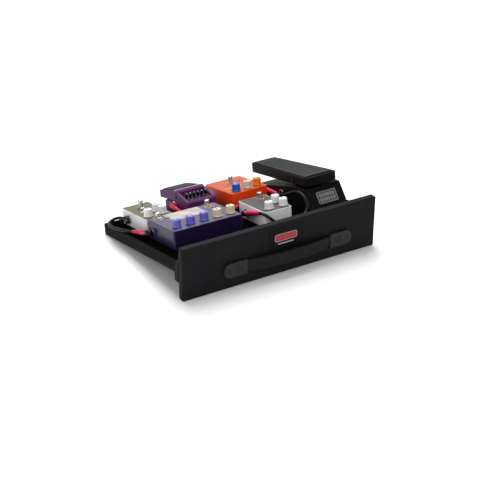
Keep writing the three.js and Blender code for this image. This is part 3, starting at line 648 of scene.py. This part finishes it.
def make_switch(name, x, y, z, height, place, washer):
    """A foot switch: its washer, hex nut and threaded bushing stay, its plunger and cap move."""
    top = height - 8.6
    thread = [(4.4, 0.1), (6.0, 0.1)]
    turns = int((top - 3) / THREAD_PITCH)
    for k in range(turns):
        thread += [(6.0, 0.4 + THREAD_PITCH * k), (5.6, 0.85 + THREAD_PITCH * k)]
    thread += [(5.7, top - 0.3), (5.4, top), (4.4, top)]
    bushing = lathe(thread, 32, closed=True)
    dish = lathe([(6.1, 0.05), (washer, 0.05), (washer + 0.4, 0.5), (washer, 1.0), (washer - 2, 1.5),
                  (6.1, 1.3)], 40, closed=True)
    nut = lathe([(6.05, 1.35), (8.3, 1.35), (8.3, 3.6), (7.6, 4.1), (6.05, 4.1)], 6, closed=True)
    fixed = [moved(s, at(x, y, z)) for s in (bushing, dish, nut)]
    put(name + "_bushing", fixed, place, "board", "nickel", NICKEL)
    cap = [(0, -6), (3.9, -6), (3.9, height - 6), (5.2, height - 6), (5.6, height - 5.5),
           (5.6, height - 1.6), (5.2, height - 0.7), (4.2, height - 0.15), (0, height)]
    put(name + "_plunger", moved(lathe(cap, 32), at(x, y, z)), place, name, "nickel", NICKEL, replaces=name)


def make_light(name, pedal, x, y, lift=0.0):
    """An indicator light: a nickel bezel round a red dome."""
    place, z = pedal["at"], pedal["size"][2] + lift
    bezel = ring(2.6, 4.0, 0.05, 1.6, 0.4)
    put(name + "_bezel", moved(bezel, at(x, y, z)), place, "board", "nickel", NICKEL)
    dome = [(0, 0.05), (2.5, 0.05), (2.5, 1.2), (2.2, 2.3), (1.3, 3.0), (0, 3.2)]
    put(name + "_lens", moved(lathe(dome, 24), at(x, y, z)), place, "board", "plug_crimson", LENS_RED)


def plate(name, pedal, width, depth, x, y, slot, material, thick=TOP_PLATE, radius=1.5, lift=0.0):
    """A thin plate on a pedal's top, raised by what lies under it; it serves for prints, fixed plates and the
    painted sheen of a whole top.
    """
    shape = soften(prism(rounded(width, depth, radius, 4), 0.04, thick), min(0.12, thick / 3), 1, 50)
    put(name, moved(shape, at(x, y, pedal["size"][2] + lift)), pedal["at"], "board", slot, material)


def dial_marks(name, pedal, lift, slot, material, radius=12.4):
    """Short ticks round each knob, as on a dial."""
    ticks = []
    for x, y in pedal["knobs"]:
        for k in range(11):
            a = math.radians(-60 + 30 * k)
            tick = soften(prism(rounded(2.2, 0.6, 0.25, 2, radius, 0), 0.04, 0.18), 0.04, 1, 50)
            ticks.append(moved(tick, Matrix.Rotation(a, 4, "Z"), at(x, y, pedal["size"][2] + lift)))
    put(name, ticks, pedal["at"], "board", slot, material)


# Of each box: its enamel, how much its edges are eased, what lies on its top and its knobs' finishes.
FINISHES = {
    "white": (GREY_ENAMEL, 1.6, TOP_PLATE, ["knob_white"] * 3),
    "silver": (SILVER, 1.6, TOP_PLATE, ["knob_white"] * 3),
    # orange and purple: the layer on the top is painted sheen
    "orange": (ORANGE, 1.8, PRINT_AND_SHEEN_LAYER, ["knob_blue", "knob_cream", "knob_orange"]),
    "purple": (PURPLE, 1.6, PRINT_AND_SHEEN_LAYER, ["knob_periwinkle"] * 3 + ["knob_cream"] * 2),
}
WHITE_POINTER = ("knob_white", PRINT_WHITE)
DARK_POINTER = ("black_plastic", BLACK_PLASTIC)


def make_stompboxes():
    """The four box pedals: shells, base plates, knobs, foot switches, prints, the painted sheen on the orange
    and purple tops, and lights.
    """
    for name, pedal in PEDALS.items():
        finish, edge, skin, knobs = FINISHES[name]
        width, depth, height = pedal["size"]
        place = pedal["at"]
        dress(f"{name}_pedal_shell", finish, edge, 4)
        base = soften(prism(rounded(width - 5.4, depth - 5.4, 1.6, 3), 0.15, 1.8), 0.2, 1, 50)
        put(f"{name}_base_plate", base, place, "board", "pin_steel", STEEL)
        for i, ((x, y), slot) in enumerate(zip(pedal["knobs"], knobs)):
            pointer = DARK_POINTER if slot in ("knob_white", "knob_cream") else WHITE_POINTER
            make_knob(f"{name}_knob_{i + 1}", x, y, height, place, slot, pointer, name == "silver")
            collar = moved(ring(3.6, 7.0, 0.05 + skin, 1.0 + skin, 0.2), at(x, y, height))
            put(f"{name}_knob_washer_{i + 1}", collar, place, "board", "nickel", NICKEL)
        washer = 12.2 if name == "purple" else 8.8
        for i, (x, y) in enumerate(pedal["switches"]):
            make_switch(f"{name}_foot_button_{i + 1}", x, y, height, pedal["button"], place, washer)
    white, silver, orange, purple = (PEDALS[name] for name in ("white", "silver", "orange", "purple"))
    plate("white_top_plate", white, 64.4, 119.4, 0, 0, "grey_enamel", OLIVE, radius=4)
    plate("silver_top_plate", silver, 65, 113.6, 0, 0, "silver_metal", SLATE, radius=3.5)
    dial_marks("white_dial_marks", white, TOP_PLATE, "knob_white", PRINT_WHITE, 11.4)
    dial_marks("silver_dial_marks", silver, TOP_PLATE, "knob_white", PRINT_WHITE)
    dial_marks("orange_dial_marks", orange, MARKS_LIFT, "knob_cream", PRINT_GOLD)
    dial_marks("purple_dial_marks", purple, MARKS_LIFT, "knob_white", PRINT_LILAC)
    # Painted sheen over the whole top of the purple box.
    plate("purple_top_painted_sheen", purple, 162, 116, 0, 0, "purple_enamel", PAINTED_SHEEN_MAUVE, PRINT_AND_SHEEN_LAYER, 3)
    plate("purple_art_panel", purple, 84, 52, -4, 33, "knob_cream", ART, 0.5)
    for k, x in enumerate((-66.5, -34, -1, 31, 63)):
        plate(f"purple_label_{k + 1}", purple, 8, 3.4, x, -52.5, "knob_white", PRINT_LILAC,
              2 * PRINT_AND_SHEEN_LAYER, 1)
    # Painted sheen over the whole top of the orange box.
    plate("orange_top_painted_sheen", orange, 92.6, 114.6, 0, 0, "orange_enamel", PAINTED_SHEEN_ORANGE, PRINT_AND_SHEEN_LAYER, 3)
    plate("orange_gold_bar_left", orange, 20, 5, -28, -11, "knob_cream", PRINT_GOLD, 2 * PRINT_AND_SHEEN_LAYER, 2)
    plate("orange_gold_bar_right", orange, 11, 4, 6, -8, "knob_cream", PRINT_GOLD, 2 * PRINT_AND_SHEEN_LAYER, 1.6)
    plate("white_name_bar", white, 34, 5, 0, -2, "knob_white", PRINT_WHITE, PRINT_AND_SHEEN_LAYER, lift=TOP_PLATE)
    make_light("white_light", white, 12, 22, TOP_PLATE)
    make_light("silver_light", silver, 17.5, 32, TOP_PLATE)
    make_light("orange_light", orange, 20, 20)
    make_light("purple_light_left", purple, -46, 32)
    make_light("purple_light_right", purple, 59, 29)


# ---------------------------------------------------------------- equaliser pedal
def between(part, y, near_value, far_value):
    """A value that runs evenly from one end of a treadle to its other end."""
    return near_value - (near_value - far_value) * (y - part["near"]) / (part["far"] - part["near"])


def eq_top(y):
    return between(EQ_TREADLE, y, EQ_TREADLE["top_near"], EQ_TREADLE["top_far"])


def slider_x(i):
    return (i - 2.5) * EQ_PITCH


RIB_DEPTH, RIM_DROP = 0.75, 0.4


def ribbed_pad(half_near, half_far, near, far, top_of, low, high, ribs, across=False, border=3.0):
    """A rubber pad with a plain border round a field of ribs, which run along y or across it."""
    bm = bmesh.new()
    nu, nv = (ribs * 6 + 8, 12) if not across else (12, ribs * 6 + 8)
    grid = {}
    for level in (0, 1):
        for i in range(nu + 1):
            for j in range(nv + 1):
                u, v = i / nu, j / nv
                half = half_near + (half_far - half_near) * v
                x, y = half * (2 * u - 1), near + (far - near) * v
                lift = low
                if level:
                    edge = min(half - abs(x), y - near, far - y)
                    wave = 0.5 + 0.5 * math.cos(2 * math.pi * (ribs * (v if across else u)))
                    lift = high - (RIB_DEPTH * wave if edge > border else 0.0)
                    lift -= RIM_DROP if edge < 0.01 else 0.0
                if level or i in (0, nu) or j in (0, nv):
                    grid[level, i, j] = bm.verts.new((x, y, top_of(y) + lift))
    for i in range(nu):
        for j in range(nv):
            bm.faces.new([grid[1, i, j], grid[1, i + 1, j], grid[1, i + 1, j + 1], grid[1, i, j + 1]])
    loop = ([(i, 0) for i in range(nu + 1)] + [(nu, j) for j in range(1, nv + 1)]
            + [(i, nv) for i in range(nu - 1, -1, -1)] + [(0, j) for j in range(nv - 1, 0, -1)])
    for a, b in zip(loop, loop[1:] + loop[:1]):
        bm.faces.new([grid[(0, *a)], grid[(0, *b)], grid[(1, *b)], grid[(1, *a)]])
    bm.faces.new([grid[(0, *a)] for a in loop[::-1]])
    return bm


def make_equaliser():
    """The compact pedal: treadle pad, thumbscrew, slider panel with its caps, screws, light and a painted
    highlight along the treadle's near end.
    """
    dress("eq_pedal_case", VIOLET, 1.2, 3)
    dress("eq_treadle", VIOLET, 1.2, 3)
    dress("eq_hinge_pin", STEEL)
    pad = ribbed_pad(31.6, 31.6, 74.2, 126.8, eq_top, 0.35, 2.2, 14, across=True)
    put("eq_pad_ribbed", pad, EQ_AT, "eq_treadle", "pad_rubber", PAD, sharp=50, replaces="eq_rubber_pad")

    def knurl(r, z, a):
        return r - (0.35 * (0.5 + 0.5 * math.cos(20 * a)) if r > 5 else 0.0), z

    head = [(0, 0), (2.9, 0), (2.9, 7.2), (5.4, 7.4), (6, 8), (6, 12), (5.4, 12.8), (0, 13)]
    screw = moved(lathe(head, 80, knurl), along((0, 124, 33), (0, 137, 33)))
    put("eq_thumbscrew_knurled", screw, EQ_AT, "eq_treadle",
        "black_plastic", BLACK_PLASTIC, sharp=40, replaces="eq_thumbscrew")
    (y_low, z_low), (y_high, z_high) = EQ_PANEL_LOW, EQ_PANEL_HIGH
    slope = math.atan2(z_high - z_low, y_high - y_low)
    middle = Vector((0, (y_low + y_high) / 2, (z_low + z_high) / 2))
    floor_at = EQ_AT @ Matrix.Translation(middle * MM) @ Matrix.Rotation(slope, 4, "X")
    panel = []
    edges = [-30.6] + [slider_x(i) + side for i in range(6) for side in (-1.5, 1.5)] + [30.6]
    for a, b in zip(edges[::2], edges[1::2]):
        panel.append(soften(prism(rounded(b - a, 41, 0.3, 2, (a + b) / 2, 0), 0.05, 0.4), 0.08, 1, 50))
    for y in (-18.6, 18.6):
        panel.append(soften(prism(rounded(61.0, 3.6, 0.3, 2, 0, y), 0.06, 0.42), 0.08, 1, 50))
    put("eq_slider_panel", panel, floor_at, "board", "black_plastic", BLACK_PLASTIC)
    ticks = []
    for i in range(6):
        for k in range(-4, 5):
            for side in (-1, 1):
                long = 1.9 if k % 4 == 0 else 1.1
                x = slider_x(i) + side * (1.9 + long / 2)
                ticks.append(prism(rounded(long, 0.35, 0.1, 1, x, 3.2 * k), 0.42, 0.5))
    put("eq_scale_marks", ticks, floor_at, "board", "knob_white", PRINT_WHITE)
    for i in range(6):
        x = slider_x(i)
        grip = [(-3, 1), (3, 1), (2.7, 6), (2.2, 11.4), (1.3, 12), (-1.3, 12), (-2.2, 11.4), (-2.7, 6)]
        cap = moved(soften(prism(grip, -2.7, 2.7), 0.3, 2, 40), SIDEWAYS, at(x, 0, 0))
        stem = soften(prism(rounded(1.2, 2.4, 0.3, 2, x, 0), -5, 1.4), 0.1, 1, 50)
        put(f"eq_slider_cap_{i + 1}", [cap, stem], floor_at, f"eq_slider_{i + 1}", "black_plastic",
            BLACK_PLASTIC, replaces=f"eq_slider_{i + 1}")
        index = soften(prism(rounded(3.2, 0.9, 0.3, 2, x, -1.3), 11.0, 12.1), 0.08, 1, 50)
        put(f"eq_slider_line_{i + 1}", index, floor_at, f"eq_slider_{i + 1}", "knob_white", PRINT_WHITE)
    for side, name in ((-1, "left"), (1, "right")):
        for k, (y, z, r) in enumerate(((*EQ_HINGE, 2.9), (40, 41.5, 2.3))):
            head = moved(screw_head(r, 0.7), along((side * EQ_WIDTH / 2, y, z), (side * EQ_WIDTH, y, z)))
            put(f"eq_cheek_screw_{name}_{k + 1}", head, EQ_AT, "board", "pin_steel", STEEL_DARK)
    # Painted highlight: a pale lilac band across the treadle near its front end, standing for the light along
    # that edge.
    highlight_y = 65
    highlight_band = soften(prism(rounded(67, 12, 1.2, 3, 0, highlight_y), 0.05, 0.4), 0.1, 1, 50)
    drop = EQ_TREADLE["top_far"] - EQ_TREADLE["top_near"]
    tilt = Matrix.Rotation(math.atan2(drop, EQ_TREADLE["far"] - EQ_TREADLE["near"]), 4, "X")
    lay = at(0, highlight_y, eq_top(highlight_y)) @ tilt @ at(0, -highlight_y, 0)
    put("eq_treadle_painted_highlight", moved(highlight_band, lay), EQ_AT, "eq_treadle", "violet_enamel", PAINTED_HIGHLIGHT_LILAC)
    dome = moved(lathe([(0, 0), (2.2, 0), (2.2, 1.0), (1.7, 1.9), (0, 2.3)], 24), at(27, 2.6, 37.6))
    put("eq_check_light", dome, EQ_AT, "board", "plug_crimson", LENS_RED)


# ---------------------------------------------------------------- wah pedal
def treadle_top(y):
    return between(TREADLE, y, TREADLE["top_near"], TREADLE["top_far"])


def treadle_half(y):
    return between(TREADLE, y, TREADLE["toe"], TREADLE["heel"]) / 2


def make_wah():
    """The rocker pedal: its pad, badge, pivot bolts, socket ring and toe switch."""
    dress("wah_housing", WAH_PAINT, 2.4, 4)
    dress("wah_treadle", WAH_PAINT, 2.2, 4)
    dress("wah_pivot_pin", STEEL)
    near, far, inset = TREADLE["near"] + 10.3, TREADLE["far"] - 10.3, 5.1
    pad = ribbed_pad(treadle_half(near) - inset, treadle_half(far) - inset, near, far, treadle_top,
                     0.35, 2.8, 24, border=3.5)
    put("wah_pad_ribbed", pad, WAH_AT, "wah_treadle", "pad_rubber", PAD, sharp=50,
        replaces="wah_rubber_pad")
    face = Vector((0, 26, 45)).normalized()
    out = Vector((0, -face.z, face.y))
    middle = Vector((5, 0, 0)) + face * 24.5
    turn = Matrix(((1, 0, 0, 0), (0, face.y, out.y, 0), (0, face.z, out.z, 0), (0, 0, 0, 1)))
    badge_at = Matrix.Translation(middle) @ turn
    frame_edge = [prism(rounded(w, h, 1.2, 3, x, y), 0.05, 2.2) for w, h, x, y in
                  ((52, 2.2, 0, 12.9), (52, 2.2, 0, -12.9), (2.2, 28, -24.9, 0), (2.2, 28, 24.9, 0))]
    field = prism(rounded(51, 27, 1.5, 3), 0.05, 0.9)
    bars = [prism(rounded(5.2, 7.4, 0.8, 2, x, y), 0.85, 1.9)
            for x in (-17.5, -10.5, -3.5, 3.5, 10.5, 17.5) for y in (-5.2, 5.2)]
    shapes = [moved(soften(s, 0.2, 1, 50), badge_at) for s in (*frame_edge, *bars)]
    put("wah_badge_plate", shapes, WAH_AT, "board", "pin_steel", PEWTER)
    put("wah_badge_field", moved(field, badge_at), WAH_AT, "board", "pin_steel", BADGE_FIELD)
    pivot_y, pivot_z = WAH["pivot"]
    half = treadle_half(pivot_y)
    for side, name in ((-1, "left"), (1, "right")):
        outwards = along((side * half, pivot_y, pivot_z), (side * (half + 5), pivot_y, pivot_z))
        bolt = moved(soften(prism(circle(4.2, 6), 0.05, 2.4), 0.3, 1), outwards)
        put(f"wah_pivot_bolt_{name}", bolt, WAH_AT, "wah_treadle", "pin_steel", STEEL_DARK)
    jack_y, jack_z = WAH["jack"]
    edge = WAH["toe"] / 2 - (WAH["toe"] - WAH["heel"]) / 2 * jack_y / WAH["length"]
    leftwards = along((-edge, jack_y, jack_z), (-edge - 5, jack_y, jack_z))
    put("wah_socket_ring", moved(ring(4.6, 7.6, 0.1, 2.4, 0.4), leftwards), WAH_AT, "board", "nickel", NICKEL)
    tip = lathe([(0, 0), (4.6, 0), (4.6, 3.2), (3.2, 3.4), (3.2, 5.4), (0, 5.6)], 24)
    put("wah_toe_switch", moved(tip, at(16, 40, 45.1)), WAH_AT, "board", "nickel", NICKEL)


make_board()
make_handle()
make_front_mark()
make_stompboxes()
make_equaliser()
make_wah()

# ---------------------------------------------------------------- floor and light
FLOOR_HALF = 6  # metres
floor = bpy.data.meshes.new("floor")
floor.from_pydata([(x * FLOOR_HALF, y * FLOOR_HALF, 0) for x, y in ((-1, -1), (1, -1), (1, 1), (-1, 1))],
                  [], [(0, 1, 2, 3)])
floor_piece = bpy.data.objects.new("floor", floor)
bpy.context.scene.collection.objects.link(floor_piece)
floor.materials.append(surface("floor_paper", (0.90, 0.90, 0.90), rough=0.9, tint=0.0, tint_mm=900,
                               grain_mm=3, depth_mm=0.001, specular=0.0))

world = bpy.data.worlds.new("studio")
bpy.context.scene.world = world
world.use_nodes = True
world.node_tree.nodes["Background"].inputs["Color"].default_value = (1, 1, 1, 1)
world.node_tree.nodes["Background"].inputs["Strength"].default_value = 0.40


def soft_light(name, spot, aim, size, power):
    """A square area light, in metres and watts."""
    lamp = bpy.data.objects.new(name, bpy.data.lights.new(name, "AREA"))
    bpy.context.scene.collection.objects.link(lamp)
    lamp.data.shape, lamp.data.size, lamp.data.energy = "SQUARE", size, power
    lamp.location = spot
    lamp.rotation_euler = (Vector(aim) - Vector(spot)).to_track_quat("-Z", "Y").to_euler()


soft_light("top_box", (0.25, 0.9, 1.9), (0, 0.15, 0), 1.5, 46)
soft_light("backdrop", (1.3, 3.4, 2.4), (1.3, 3.4, 0), 3.0, 60)
soft_light("left_fill", (-1.9, -0.2, 1.2), (0, 0.1, 0.05), 1.2, 11)
soft_light("front_fill", (-0.2, -1.9, 1.5), (0, 0.1, 0.08), 1.0, 11)
bpy.context.scene.view_settings.view_transform = "Standard"
